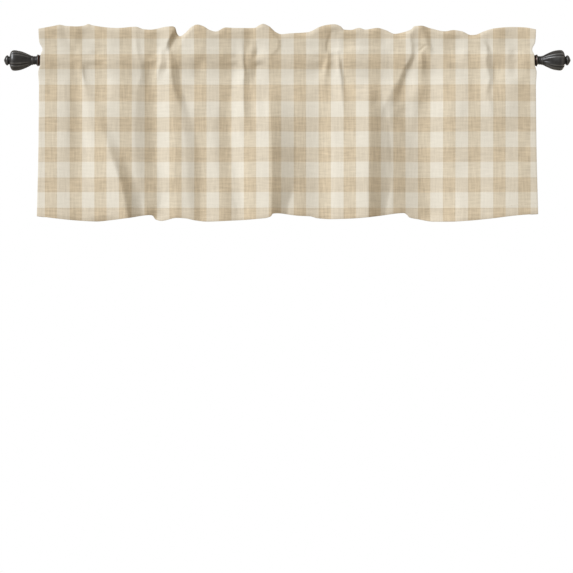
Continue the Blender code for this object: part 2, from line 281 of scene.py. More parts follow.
# The flat between the two pleats.
add_fold(
    2, 2, 0,
    (-68, 75, 44, 34, 0), (-98, 75, 49, 34, -2), (-220, 80, 63, 39, -6), (-386, 80, 59, 44, -7),
)
# The second pleat.
add_fold(
    1.15, 1.3, 0.35,
    (-44, 199, 107, 20, 0), (-63, 198, 117, 27, 3.5), (-78, 196, 120, 37, 10), (-98, 194, 120, 41, 14.5),
    (-122, 194, 120, 44, 16), (-159, 193, 117, 54, 18), (-220, 192, 117, 61, 21), (-293, 189, 115, 66, 23),
    (-354, 190, 110, 54, 21), (-386, 190, 102, 49, 19),
)
# The wide valley after it.
add_fold(
    1.5, 1.3, 0,
    (-59, 334, 20, 59, 0), (-83, 334, 24, 68, -2.5), (-107, 326, 44, 73, -7), (-159, 319, 78, 78, -12),
    (-220, 321, 78, 78, -15), (-293, 331, 78, 83, -17), (-354, 343, 93, 83, -17), (-386, 348, 98, 83, -17),
)
# The broad swell beside the right edge.
add_fold(
    2, 2, 0,
    (22, 582, 54, 171, 0), (5, 580, 59, 171, 2.6), (-10, 575, 66, 171, 5), (-29, 565, 68, 171, 6.5),
    (-49, 558, 78, 181, 7.5), (-159, 534, 112, 195, 8.5), (-281, 539, 137, 220, 12),
    (-386, 548, 146, 220, 14),
)
# The hollow of the frill at the left.
add_fold(
    1.8, 2, 0,
    (83, -481, 63, 49, -4.5), (49, -477, 68, 49, -5), (24, -474, 68, 44, -4.5), (0, -472, 54, 34, -2),
    (-15, -472, 54, 34, 0),
)
# A slanting crease in the frill.
add_fold(
    1.3, 1.4, 0,
    (88, -547, 15, 15, 0), (73, -544, 17, 17, -2.6), (54, -538, 20, 20, -3.4), (39, -530, 22, 20, -3),
    (24, -520, 29, 15, -3.2), (7, -520, 27, 15, -2.4), (-10, -518, 22, 15, 0),
)
# A second crease, leaning the other way.
add_fold(
    1.3, 1.4, 0,
    (93, -491, 20, 34, 0), (78, -494, 20, 34, -1.8), (59, -496, 22, 34, -2.2), (39, -503, 20, 29, -1),
    (20, -511, 15, 24, 0),
)
# The sharp ridge at the left.
add_fold(
    1, 1.5, 0.3,
    (44, -506, 15, 7, 0), (7, -504, 24, 9, 1.8), (-7, -504, 27, 9, 3.4), (-22, -503, 27, 9, 4.6),
    (-39, -501, 24, 10, 4.8), (-59, -497, 22, 12, 3.2), (-78, -492, 22, 17, 1.4), (-102, -484, 24, 20, 0),
)
# The hollow beside it.
add_fold(
    1.5, 1.5, 0,
    (20, -481, 15, 24, 0), (5, -484, 15, 24, -2.4), (-15, -486, 15, 27, -3.4), (-39, -484, 15, 29, -2.4),
    (-68, -477, 17, 29, -1.2), (-93, -472, 20, 29, 0),
)
# A narrow step beside the recess.
add_fold(
    1, 1.4, 0,
    (73, -370, 15, 10, 0.6), (49, -369, 15, 10, 1.8), (32, -368, 15, 11, 2.4), (5, -364, 17, 12, 2),
    (-20, -357, 17, 12, 0.6), (-34, -355, 17, 12, 0),
)
# The recess where the first valley starts.
add_fold(
    1.4, 1.3, 0,
    (39, -318, 27, 20, 0), (24, -315, 32, 22, -1.8), (12, -315, 34, 22, -3.8), (0, -318, 34, 20, -5.2),
    (-15, -323, 34, 20, -5.6), (-29, -325, 32, 20, -5), (-49, -330, 29, 20, -2.8), (-73, -333, 22, 20, 0),
)
# The narrow rib to its right.
add_fold(
    1, 1.4, 0,
    (34, -309, 22, 12, 0), (15, -308, 22, 9, 2.8), (0, -309, 22, 10, 4), (-20, -314, 22, 11, 4.4),
    (-41, -319, 20, 12, 2.4), (-63, -323, 15, 12, 0),
)
# A groove beside the rib.
add_fold(
    1.2, 1.4, 0,
    (29, -296, 12, 12, 0), (15, -296, 12, 12, -2), (0, -296, 15, 12, -3), (-20, -298, 17, 15, -3.4),
    (-39, -303, 17, 15, -1.4), (-59, -306, 15, 15, 0),
)
# The soft swell of the pocket to the left of the recess.
add_fold(
    1.8, 1.8, 0,
    (12, -425, 44, 59, 0), (-10, -425, 54, 63, 2.2), (-34, -425, 59, 73, 3.6), (-63, -425, 63, 78, 4),
    (-98, -423, 63, 78, 3.6), (-151, -418, 54, 73, 2), (-205, -408, 49, 59, 0),
)
# A small dent beside the sharp ridge.
add_fold(
    1.5, 1.5, 0,
    (39, -462, 20, 20, 0), (24, -462, 20, 20, -2), (10, -462, 18, 22, -4.4), (-7, -459, 24, 24, -4),
    (-24, -457, 27, 29, -3.6), (-44, -455, 32, 34, -4), (-68, -455, 32, 34, -3.4), (-93, -457, 29, 29, -1.8),
    (-117, -462, 24, 24, 0),
)
# The turned-over flap of the frill.
add_fold(
    1, 1.2, 0.3,
    (93, -284, 34, 10, 0), (83, -283, 34, 10, 1), (71, -282, 34, 12, 2.6), (59, -286, 29, 12, 4.2),
    (44, -294, 22, 12, 4.6), (32, -297, 20, 11, 3), (20, -299, 20, 12, 1), (10, -298, 20, 12, 0),
)
# The gap beside the flap.
add_fold(
    1.4, 1.4, 0,
    (93, -257, 20, 29, 0), (81, -257, 20, 29, -2.6), (59, -268, 20, 24, -4), (34, -281, 15, 20, -3.6),
    (20, -286, 12, 17, 0),
)
# The long crease that runs down from the gap.
add_fold(
    1, 1.1, 0.3,
    (39, -294, 20, 10, 0), (24, -292, 24, 10, 2.5), (5, -290, 41, 17, 5.8), (-15, -288, 59, 23, 10),
    (-37, -286, 59, 24, 10.5), (-59, -283, 59, 21, 9.8), (-78, -278, 56, 22, 8.2), (-93, -271, 51, 23, 6),
    (-122, -255, 41, 29, 2), (-142, -247, 34, 29, 0),
)
# The step of the frill above the rod.
add_fold(
    1.6, 1.6, 0,
    (88, -325, 29, 29, 0), (68, -315, 29, 29, -1.6), (44, -313, 34, 29, -2.4), (20, -315, 32, 24, -2.4),
    (5, -318, 29, 20, -1.4), (-10, -320, 29, 20, 0),
)
# The broad swell of the frill between the flap and the first pucker.
add_fold(
    2, 2, 0,
    (85, -198, 68, 93, 6), (24, -201, 63, 102, 5), (0, -201, 49, 83, 1),
)
# A soft hollow over the rod below it.
add_fold(
    1.8, 1.6, 0,
    (7, -215, 22, 15, 0), (-7, -215, 24, 15, -2.8), (-27, -215, 24, 17, -2.6), (-59, -215, 22, 20, 0),
)
# A wider one before the first pucker.
add_fold(
    1.5, 1.5, 0,
    (15, -128, 29, 12, 0), (5, -128, 34, 15, -2.6), (-7, -128, 49, 18, -4), (-24, -127, 56, 21, -4.2),
    (-49, -130, 46, 22, -2.4), (-73, -132, 39, 22, -1.2), (-93, -135, 34, 24, 0),
)
# The left rib of the first pucker.
add_fold(
    1, 1.3, 0.2,
    (49, -115, 15, 7, 0), (29, -110, 15, 7, 1.6), (0, -109, 20, 7, 3.2), (-29, -106, 27, 11, 4),
    (-61, -109, 29, 17, 6), (-98, -109, 32, 20, 7), (-127, -108, 29, 21, 6.2), (-151, -105, 24, 20, 3.4),
    (-181, -101, 20, 15, 0),
)
# The groove to its right.
add_fold(
    1.1, 1.3, 0,
    (49, -74, 10, 20, 0), (32, -74, 12, 22, -3.6), (15, -74, 15, 27, -6.4), (-5, -74, 16, 29, -6.4),
    (-24, -76, 18, 29, -4), (-44, -80, 17, 29, -2.2), (-68, -86, 15, 29, 0),
)
# A faint crease below the groove.
add_fold(
    1, 1.3, 0,
    (-39, -75, 15, 12, 0), (-63, -75, 15, 12, 1), (-98, -75, 15, 15, 1.3), (-127, -74, 15, 17, 1.3),
    (-156, -71, 15, 17, 0),
)
# A dent in the frill above the first pucker.
add_fold(
    1.5, 1.5, 0,
    (93, -93, 20, 22, 0), (83, -93, 20, 22, -2), (59, -91, 22, 22, -4.2), (39, -91, 20, 22, -4),
    (24, -96, 15, 20, -1.6), (10, -98, 12, 15, 0),
)
# The lobe of the frill above the first pleat.
add_fold(
    1.1, 1.3, 0.35,
    (83, -62, 34, 20, 2), (63, -38, 44, 10, 2.4), (44, -24, 49, 9, 2.6), (29, -26, 44, 10, 2),
    (15, -38, 29, 10, 1.2), (0, -52, 22, 10, 0),
)
# The hollow under the lobe.
add_fold(
    1.8, 1.6, 0,
    (29, -25, 17, 34, 0), (15, -25, 17, 34, -1), (2, -23, 22, 34, -1.6), (-12, -15, 29, 34, 0),
)
# A soft dent over the rod.
add_fold(
    1.4, 1.5, 0,
    (17, 85, 34, 15, 0), (0, 87, 39, 17, -4), (-22, 82, 39, 17, -4.2), (-39, 77, 34, 15, -2),
    (-59, 75, 29, 12, 0),
)
# A soft swell beside the second pucker.
add_fold(
    1.8, 1.6, 0,
    (34, 173, 34, 73, 0), (15, 173, 39, 78, 3), (-7, 173, 41, 83, 6), (-34, 175, 44, 88, 7),
    (-63, 177, 44, 78, 4.6), (-107, 182, 44, 68, 0),
)
# The long slope into the first curl of the frill, below its rolled top.
add_fold(
    1.5, 1.4, 0,
    (98, 104, 49, 34, 2), (83, 104, 49, 34, 2.4), (71, 107, 39, 39, -0.6), (59, 109, 34, 49, -2.8),
    (44, 112, 34, 59, -4.2), (29, 112, 32, 54, -3.8), (17, 112, 29, 49, -2.8), (5, 112, 29, 34, -1.8),
    (-15, 109, 34, 29, -0.8), (-39, 107, 34, 24, 0),
)
# A crease inside the first curl.
add_fold(
    1.1, 1.2, 0,
    (76, 112, 7, 10, 0), (66, 107, 7, 10, -1), (49, 101, 7, 12, -1.8), (34, 98, 6, 15, -2.4),
    (24, 98, 6, 15, -2.2), (15, 97, 7, 12, 0),
)
# The curled edge beside the crease.
add_fold(
    1, 1.2, 0,
    (63, 124, 7, 9, 0), (54, 125, 7, 10, 0.9), (39, 126, 7, 11, 1.1), (24, 126, 7, 10, 0.8),
    (15, 125, 10, 10, 0),
)
# The round hollow inside the curl.
add_fold(
    1.4, 1.3, 0,
    (68, 143, 15, 24, 0), (59, 146, 15, 29, -1.4), (46, 147, 16, 34, -3), (34, 147, 16, 34, -2.8),
    (22, 146, 15, 29, -1.6), (5, 143, 15, 20, 0),
)
# The pucker line of the stitching.
add_fold(
    1.3, 1.2, 0,
    (18, 121, 15, 15, 1.2), (14, 121, 15, 15, -1.4), (10, 121, 15, 15, 0),
)
# The left rib of the second pucker.
add_fold(
    1, 1.4, 0,
    (27, 97, 15, 7, 0), (10, 98, 22, 9, 3), (-10, 96, 24, 10, 4), (-24, 93, 22, 13, 3),
    (-44, 91, 15, 22, 2), (-68, 90, 12, 24, 1.8), (-93, 90, 12, 24, 1.2), (-117, 90, 12, 24, 0),
)
# The groove to its right.
add_fold(
    1.3, 1.3, 0,
    (24, 114, 10, 15, 0), (7, 114, 12, 20, -2.4), (-10, 115, 15, 12, -3.4), (-24, 116, 20, 12, -2.6),
    (-49, 112, 15, 15, 0),
)
# The main rib of the second pucker.
add_fold(
    1, 1.2, 0.3,
    (24, 122, 15, 6, 0), (10, 123, 22, 7, 2.4), (-7, 123, 22, 11, 5.6), (-24, 126, 24, 11, 6),
    (-49, 130, 29, 12, 5.6), (-88, 130, 34, 15, 4.4), (-127, 134, 34, 18, 2.8), (-161, 141, 29, 20, 0),
)
# The long slanting crease of the third pucker.
add_fold(
    1, 1.15, 0.25,
    (44, 303, 20, 6, 0), (32, 302, 29, 7, 1.2), (12, 300, 49, 16, 5.2), (-7, 291, 44, 14, 5.2),
    (-24, 281, 41, 13, 3.8), (-44, 272, 41, 16, 4.2), (-68, 258, 39, 21, 5.2), (-93, 244, 29, 27, 4.8),
    (-117, 233, 29, 32, 2.8), (-146, 224, 29, 34, 0),
)
# The valley below the slanting crease.
add_fold(
    1.5, 1.4, 0,
    (0, 307, 10, 12, 0), (-20, 302, 12, 15, -1.4), (-41, 293, 17, 20, -2.6), (-66, 287, 22, 24, -4.4),
    (-90, 284, 29, 29, -5.4), (-117, 285, 37, 27, -5), (-142, 285, 37, 24, -3), (-176, 285, 34, 24, 0),
)
# The lobe of the frill over the third pucker.
add_fold(
    1.4, 1.4, 0,
    (88, 292, 34, 68, 2), (63, 292, 37, 68, 2.6), (39, 292, 37, 63, 2.6), (20, 290, 34, 49, 1.4),
    (0, 285, 24, 39, 0),
)
# The second curl of the frill.
add_fold(
    1.1, 1.2, 0.35,
    (98, 322, 29, 18, 4.4), (88, 323, 29, 20, 5.2), (73, 327, 29, 18, 5.6), (59, 331, 29, 18, 5.8),
    (41, 337, 29, 15, 5.2), (27, 346, 24, 11, 3.4), (15, 349, 15, 12, 1), (5, 349, 15, 12, 0),
)
# The dent in the second curl.
add_fold(
    1.6, 1.4, 0,
    (81, 314, 20, 20, 0), (66, 319, 22, 20, -2.2), (51, 321, 22, 20, -3.4), (37, 324, 20, 17, -2.6),
    (27, 324, 15, 15, -1), (17, 324, 12, 15, 0),
)
# A small crease at the stitching.
add_fold(
    1.3, 1.2, 0,
    (37, 338, 7, 5, 0), (32, 334, 7, 5, -2.4), (22, 324, 7, 5, -2.4), (17, 319, 7, 5, 0),
)
# The wedge below the second curl.
add_fold(
    1, 1.2, 0.2,
    (34, 327, 12, 10, 0), (20, 327, 15, 11, 2.8), (5, 326, 17, 15, 5.8), (-10, 327, 20, 18, 6.2),
    (-24, 328, 22, 21, 4.2), (-41, 327, 22, 22, 2.2), (-66, 325, 22, 22, 2.2), (-93, 323, 22, 22, 2),
    (-117, 316, 24, 24, 1), (-146, 307, 24, 24, 0),
)
# The broad swell to the right of the third pucker.
add_fold(
    1.7, 1.4, 0,
    (24, 412, 59, 146, 0), (5, 417, 66, 146, 3), (-17, 421, 76, 146, 7), (-37, 426, 81, 151, 10),
    (-63, 426, 83, 156, 12), (-98, 426, 83, 156, 12.5), (-137, 426, 83, 151, 10), (-195, 431, 83, 146, 5),
    (-268, 436, 73, 146, 0),
)
# A soft ridge on its left flank.
add_fold(
    1.5, 1.4, 0,
    (20, 363, 15, 34, 0), (5, 368, 17, 39, 1.2), (-10, 373, 20, 44, 2), (-24, 380, 24, 49, 2.6),
    (-44, 390, 34, 59, 1.8), (-73, 402, 39, 59, 0),
)
# The dip of the frill before the last pucker.
add_fold(
    2, 1.8, 0,
    (63, 409, 34, 29, 0), (46, 409, 34, 29, -3), (20, 409, 29, 29, -3), (-10, 409, 29, 29, 0),
)
# The wavy ridge at the right.
add_fold(
    1.05, 1.2, 0.35,
    (71, 441, 20, 10, 0), (61, 451, 20, 12, 1.4), (51, 466, 24, 12, 2.4), (41, 476, 29, 12, 3.6),
    (29, 484, 34, 12, 4.8), (15, 485, 37, 15, 5.5), (-5, 481, 37, 20, 6.5), (-24, 485, 37, 20, 7),
    (-44, 491, 37, 17, 6), (-63, 487, 34, 15, 4.5), (-78, 483, 32, 15, 4), (-98, 489, 32, 15, 3),
    (-122, 497, 29, 15, 1.5), (-146, 504, 29, 15, 0),
)
# A last small hollow over the rod.
add_fold(
    1.4, 1.3, 0,
    (32, 553, 15, 22, 0), (15, 556, 17, 24, -3.8), (-5, 558, 22, 24, -5.5), (-24, 557, 22, 24, -4.4),
    (-49, 553, 20, 22, 0),
)
# A soft ridge below it.
add_fold(
    1.6, 1.5, 0,
    (-5, 539, 27, 54, 0), (-29, 539, 29, 59, 2), (-54, 539, 32, 68, 3), (-90, 541, 32, 73, 3.2),
    (-122, 543, 32, 73, 2), (-161, 543, 32, 68, 0),
)
# The swell of the frill between the puckers.
add_fold(
    2, 2, 0,
    (85, 158, 34, 127, 3), (24, 158, 34, 122, 2.5),
)
# The frill beside the right edge, which leans back.
add_fold(
    1.7, 1.6, 0,
    (93, 563, 49, 171, -9), (73, 563, 49, 171, -7.4), (54, 565, 51, 171, -4.8), (34, 568, 59, 171, -2),
    (15, 568, 63, 171, 0),
)
# A hollow behind the wavy ridge.
add_fold(
    1.5, 1.4, 0,
    (83, 487, 15, 29, 0), (63, 490, 15, 29, -2), (39, 495, 12, 24, -2), (20, 499, 12, 22, 0),
)
# A dent in front of the wavy ridge.
add_fold(
    1.5, 1.5, 0,
    (24, 446, 15, 24, 0), (10, 448, 20, 29, -2), (-7, 458, 24, 29, -2.6), (-24, 465, 24, 24, -2),
    (-44, 470, 20, 20, 0),
)
# A dip in the top of the frill before the wavy ridge, where it leans back.
add_fold(
    1.8, 1.8, 0,
    (83, 458, 24, 39, -5), (63, 456, 24, 39, -3), (44, 453, 24, 34, 0),
)
# A second dip, to the left of the second curl.
add_fold(
    1.8, 1.8, 0,
    (83, 277, 34, 29, -6), (63, 277, 34, 29, -3.6), (44, 277, 29, 24, 0),
)
# A third dip, between the lobe and the first curl.
add_fold(
    1.8, 1.8, 0,
    (83, 31, 34, 34, -4), (63, 31, 34, 34, -2), (44, 31, 29, 24, 0),
)
# A small hollow in the frill to the left of the second dip.
add_fold(
    1.8, 1.8, 0,
    (83, 238, 27, 22, 0), (66, 238, 29, 22, -2.6), (46, 238, 27, 22, -2), (29, 236, 22, 22, 0),
)
# A step in the frill at the left of the second curl.
add_fold(
    1, 1.2, 0,
    (78, 299, 20, 12, 0), (63, 300, 22, 12, 2.2), (44, 300, 22, 12, 2.2), (29, 301, 22, 11, 1.6),
    (12, 301, 20, 10, 0),
)

# The outline: the frill's top edge, the lower edge, and how far out the side edges reach at each height. The
# frill waves unevenly, with a notch beside its turned-over flap, and the lower edge steps at each pleat.
Edge = namedtuple("Edge", "x z")

TOP_EDGE = table(
    Edge,
    (-608, 74), (-570, 81), (-555, 84), (-540, 81), (-515, 80), (-497, 82), (-486, 86), (-476, 83),
    (-435, 77), (-415, 76), (-370, 79), (-350, 73), (-335, 72), (-295, 79), (-280, 80), (-274, 77),
    (-269, 62), (-262, 56), (-250, 63), (-234, 78), (-220, 84), (-205, 80), (-190, 71), (-175, 67),
    (-150, 77), (-130, 76), (-80, 76), (-70, 82), (-60, 86), (-46, 81), (-28, 66), (-15, 61), (5, 63),
    (50, 66), (62, 70), (75, 77), (95, 83), (115, 85), (130, 80), (138, 72), (155, 71), (175, 76),
    (190, 72), (220, 76), (240, 71), (262, 62), (280, 65), (303, 73), (309, 80), (325, 81), (350, 75),
    (385, 68), (405, 71), (426, 68), (448, 59), (460, 60), (480, 68), (505, 75), (555, 79), (580, 78),
    (608, 73),
)

HEM_EDGE = table(
    Edge,
    (-608, -380), (-550, -388), (-505, -392), (-465, -394), (-430, -391), (-390, -386), (-334, -378),
    (-328, -380), (-323, -388), (-308, -392), (-270, -385), (-250, -386), (-225, -391), (-195, -394),
    (-145, -392), (-60, -386), (-47, -382), (-41, -375), (-28, -374), (30, -380), (55, -381), (75, -386),
    (110, -388), (150, -387), (225, -380), (285, -373), (292, -377), (299, -384), (320, -388), (360, -394),
    (400, -394), (440, -392), (485, -388), (570, -378), (609, -375),
)

SIDE_EDGE = table(
    Edge,
    (607, 80), (605, 45), (597, 25), (602, 12), (603, -10), (608, -30), (606, -66), (607, -210), (611, -390),
)

# How far the middle between the two layers hangs in front of the rod's axis. The frill leans forward, and the
# skirt hangs down in front of the rod.
Hang = namedtuple("Hang", "z forward")

HANG = table(
    Hang,
    (83, 19.5), (60, 16.7), (40, 14.2), (30, 13.4), (22, 13.6), (16, 9.9), (10.5, 6.1), (5, 2.5), (0, 1.1),
    (-5, 1.4), (-9.8, 1.7), (-14.6, 1.8), (-19.5, 2.0), (-24.4, 2.4), (-29.3, 2.9), (-34, 3.6), (-39, 4.5),
    (-44, 5.6), (-49, 6.8), (-59, 7.9), (-80, 9.7), (-117, 12.3), (-160, 13.3), (-400, 13.9),
)


def smooth(t):
    """Rises from 0 to 1 with t, and is level at both ends."""
    t = np.clip(t, 0.0, 1.0)
    return t * t * (3 - 2 * t)


def mix(a, b, t):
    return a + (b - a) * t


def through(places, heights, wanted):
    """A smooth curve through the rows of a table, which doesn't overshoot them."""
    places, heights = np.array(places, float), np.array(heights, float)
    gaps = np.diff(places)
    slopes = np.diff(heights) / gaps
    tangents = np.zeros(len(places))
    same_way = slopes[:-1] * slopes[1:] > 0
    total = np.where(same_way, slopes[:-1] + slopes[1:], 1.0)
    tangents[1:-1] = np.where(same_way, 2 * slopes[:-1] * slopes[1:] / total, 0.0)
    tangents[0], tangents[-1] = slopes[0], slopes[-1]
    wanted = np.clip(wanted, places[0], places[-1])
    i = np.clip(np.searchsorted(places, wanted) - 1, 0, len(gaps) - 1)
    t = (wanted - places[i]) / gaps[i]
    bend = t * (1 - t) * gaps[i] * ((1 - t) * (tangents[i] - slopes[i]) - t * (tangents[i + 1] - slopes[i]))
    return mix(heights[i], heights[i + 1], t) + bend


def over(a, b):
    """The larger of two depths, with the corner between them rounded."""
    return (a + b + np.sqrt((a - b) ** 2 + ROUNDING**2)) / 2


def fold_rise(fold, x, z):
    """How far one fold pushes the cloth forward at (x, z)."""
    down = [-station.z for station in fold.stations]
    middle, left, right, rise = (
        through(down, [getattr(station, column) for station in fold.stations], -z)
        for column in ("x", "left", "right", "rise")
    )
    past_end = np.maximum(np.maximum(z - fold.stations[0].z, fold.stations[-1].z - z), 0.0)
    q = np.minimum(np.abs(x - middle) / np.where(x < middle, left, right), 1.0)
    return rise * (1 - smooth(past_end / FADE_LENGTH)) * (1 - q**fold.crest) ** fold.foot


def rise_and_lean(x, z):
    """How far all the folds push the cloth forward at (x, z), and how far sideways they tip it."""
    rise, lean = np.zeros_like(x), np.zeros_like(x)
    for fold in FOLDS:
        one = fold_rise(fold, x, z)
        rise += one
        lean += fold.lean * np.maximum(one, 0.0)
    return rise, lean


def pocket_depth(z, seam):
    """How far each layer stands from the middle between them: straight from a row of stitching, where it is
    the seam's half thickness, to where it touches the rod, and round the rod from there."""
    stitching = np.where(z > 0, HEADER_STITCH, -POCKET_END)
    touch = np.arcsin(ROD_REACH / np.hypot(seam, stitching)) - np.arctan2(seam, stitching)
    straight = seam + (stitching - np.abs(z)) * np.tan(touch)
    round_rod = np.sqrt(np.maximum(ROD_REACH**2 - z**2, 0.0))
    inside = np.where(np.abs(z) > ROD_REACH * np.sin(touch), straight, round_rod)
    return np.where(np.abs(z) >= stitching, seam, inside)


def rod_depth(z):
    """How deep a layer has to stay behind or before the rod's axis: round the rod, and then straight on."""
    leaves, steep = ROD_REACH * math.sin(LEAVE_ANGLE), math.tan(LEAVE_ANGLE)
    past = np.maximum(np.abs(z) - leaves, 0.0)
    return np.sqrt(ROD_REACH**2 - np.minimum(np.abs(z), leaves) ** 2) - steep * past


def held_by_stitching(z):
    """How much the back layer follows the front's folds: fully at the stitching, not at all at the rod."""
    stitching = np.where(z > 0, HEADER_STITCH, POCKET_END)
    return smooth(1 - (1 - z / stitching) / HELD_SHARE)


def top_height(x):
    return through([row.x for row in TOP_EDGE], [row.z for row in TOP_EDGE], x)


def hem_height(x):
    return through([row.x for row in HEM_EDGE], [row.z for row in HEM_EDGE], x)


def cloth_place(x, z, layer):
    """The middle of the cloth's thickness as an array of points, and how far its layers stand apart for each
    unit of their gap. layer is -1 in front and 1 behind."""
    rise, lean = rise_and_lean(x, z)
    slope = (rise_and_lean(x + SLOPE_STEP, z)[0] - rise_and_lean(x - SLOPE_STEP, z)[0]) / (2 * SLOPE_STEP)
    spread = np.minimum(np.hypot(1, slope), MOST_SPREAD)
    seam = LAYERS_APART / 2 * spread
    depth = pocket_depth(z, seam)
    forward = through([-row.z for row in HANG], [row.forward for row in HANG], -z)
    forward = forward - TOP_ROLL_BACK * (1 - np.clip((top_height(x) - z) / TOP_ROLL, 0.0, 1.0)) ** 2
    held = held_by_stitching(z)
    back_depth = over(depth - forward - rise * held, rod_depth(z))
    clear = over(over(depth + forward + rise, rod_depth(z)), 2 * seam - back_depth)
    front_depth = np.where(z < POCKET_END, depth + forward + rise, clear)
    y = np.where(layer > 0, back_depth, -front_depth)
    lean = lean * np.where(layer > 0, held, 1.0)
    edge = smooth((np.abs(x) - HALF_WIDTH + EDGE_REACH) / EDGE_REACH)
    reach = through([-row.z for row in SIDE_EDGE], [row.x for row in SIDE_EDGE], -z)
    outward = np.sign(x) * edge * (reach - HALF_WIDTH)
    return np.stack([x + lean + outward, y, z], axis=-1), spread


def column_places():
    """Where the columns stand, closer together where the cloth slopes most."""
    samples = np.linspace(-HALF_WIDTH, HALF_WIDTH, LINE_SAMPLES)
    climb = np.zeros(len(samples) - 1)
    for z, weight in FOLD_WEIGHTS:
        climb += weight * np.abs(np.diff(rise_and_lean(samples, np.full_like(samples, z))[0]))
    hem_climb, top_climb = (np.abs(np.diff(height(samples))) for height in (hem_height, top_height))
    climb += EDGE_WEIGHT * hem_climb + EDGE_WEIGHT * top_climb
    travelled = np.concatenate([[0.0], np.cumsum(np.diff(samples) + climb)])
    return np.interp(np.linspace(0, travelled[-1], COLUMNS + 1), travelled, samples)


def turn(near, far, bulge):
    """The rows of a half-round turn from one row of points to the next, bulging one way."""
    half = np.linalg.norm(far - near, axis=-1, keepdims=True) / 2
    rows = []
    for angle in TURN_ANGLES:
        a = math.radians(angle)
        rows.append((near + far) / 2 + (near - far) / 2 * math.cos(a) + np.array(bulge) * half * math.sin(a))
    return rows


def turn_flat(near, far):
    """The same turn on the flat cloth."""
    return [mix(near, far, angle / 180) for angle in TURN_ANGLES]


def flat_front(z):
    """The place along the flat cloth of a height on its front. The bar below the pocket is a little wider."""
    return z - WIDE_BAR_EXTRA * smooth((z - WIDE_BAR[0]) / (WIDE_BAR[1] - WIDE_BAR[0]))


def flat_back(z):
    """The place along the flat cloth of a height on the part that is folded over to the back."""
    return 2 * flat_front(HEADER_TOP) - flat_front(z)


def cloth_rows(x, side_turn):
    """The cloth along its length at each x: from the turned-up edge behind the hem, round the hem, up the
    front, over the top fold and down the back. Rows of points, and of their places on the flat cloth."""
    hem, top = hem_height(x), top_height(x)
    edge_distance = HALF_WIDTH - np.abs(x)
    over_side_hem = 1 - smooth((edge_distance - SIDE_HEM) / CORNER_EASE)
    corner = np.where(side_turn > 0, 0.0, CORNER_LAYERS * over_side_hem)

    def row(z, layer, hem_turn, flat_v):
        z = np.broadcast_to(z, x.shape).astype(float)
        points, spread = cloth_place(x, z, np.full_like(x, layer))
        behind = TURN_GAP * spread * (-layer * side_turn + hem_turn * (1 + corner))
        points[:, 1] += behind
        flat_u = np.where(side_turn > 0, 2 * HALF_WIDTH * np.sign(x) - points[:, 0], points[:, 0])
        return points, np.stack([flat_u, np.broadcast_to(flat_v(z), x.shape)], axis=-1)

    def rows(start, end, shares, layer, flat_v):
        return [row(mix(start, end, share), layer, 0, flat_v) for share in shares]

    turned_up = np.linspace(1, HEM_TURN_SHARE, HEM_ROWS)
    strip = [row(hem + HEM_DEPTH * share, -1, 1, lambda z: 2 * hem - z) for share in turned_up]
    front = rows(hem, POCKET_END, np.arange(SKIRT_ROWS) / SKIRT_ROWS, -1, flat_front)
    front += rows(POCKET_END, HEADER_STITCH, np.arange(POCKET_ROWS) / POCKET_ROWS, -1, flat_front)
    front += rows(HEADER_STITCH, top, np.linspace(0, 1, HEADER_ROWS), -1, flat_front)
    back = rows(top, HEADER_STITCH, np.arange(BACK_HEADER_ROWS) / BACK_HEADER_ROWS, 1, flat_back)
    back += rows(HEADER_STITCH, POCKET_END, np.linspace(0, 1, BACK_POCKET_ROWS), 1, flat_back)
    points, flat = [], []
    for block, bulge in ((strip, (0, 0, -1)), (front, (0, 0, 1)), (back, None)):
        points += [p for p, _ in block]
        flat += [f for _, f in block]
        if bulge:
            after = front if block is strip else back
            points += turn(block[-1][0], after[0][0], bulge)
            flat += turn_flat(block[-1][1], after[0][1])
    return np.array(points), np.array(flat)


def cloth_grid():
    """The whole cloth: rows along its length, and columns across it with the side hems turned to the back."""
    strip = HALF_WIDTH - SIDE_HEM * np.linspace(1, SIDE_TURN_SHARE, SIDE_HEM_COLUMNS)
    sides = [(-strip, 1.0), (column_places(), 0.0), (strip[::-1], 1.0)]
    blocks = [cloth_rows(x, np.full_like(x, turned)) for x, turned in sides]
    columns = [blocks[0]]
    for (near, near_flat), (far, far_flat), outward in (
        (blocks[0], blocks[1], (-1, 0, 0)),
        (blocks[1], blocks[2], (1, 0, 0)),
    ):
        rounded = turn(near[:, -1], far[:, 0], outward)
        rounded_flat = turn_flat(near_flat[:, -1], far_flat[:, 0])
        columns.append((np.stack(rounded, axis=1), np.stack(rounded_flat, axis=1)))
        columns.append((far, far_flat))
    return np.concatenate([c[0] for c in columns], axis=1), np.concatenate([c[1] for c in columns], axis=1)


# Linen-look cloth in cream and beige: plain woven of slubbed yarn that was dyed first, in wide stripes both
# ways, so the stripes cross as a check in three tones. It is matt, with a slight sheen at a glancing angle.
# Each dye is what it leaves of the light.

STRIPE_PITCH = 0.06076
STRIPE_WIDTH = 0.0299
FIRST_STRIPE = -0.5768
STRIPE_DYE = (0.879, 0.8235, 0.738)
BAR_PITCH = 0.07383
BAR_WIDTH = 0.0357
FIRST_BAR = -0.00964
BAR_DYE = (0.8955, 0.8475, 0.7835)
YARN_BLEED = 0.0006
EDGE_YARNS = 0.0024  # the first yarns of each stripe, which are a little darker
EDGE_DYE = (0.965, 0.96, 0.95)
SLUB_TONE = 0.085
PLAIN_SLUBS = 0.65  # how strongly the slubs show in plain cream, and how much more in stripes and bars
STRIPE_SLUBS = 1.1
BAR_SLUBS = 0.8
CLOUD_TONE = 0.015
WEAVE_PITCH = 0.0016  # one over and one under, drawn at twice the real 0.8 mm so that it shows in close views
WEAVE_SHARE = 0.12
RELIEF = 0.0006

linen, tree = new_material("checked_linen_weave")
run = node(tree, "UVMap", uv_map="flat_cloth").outputs["UV"]
split = node(tree, "SeparateXYZ", {0: run})


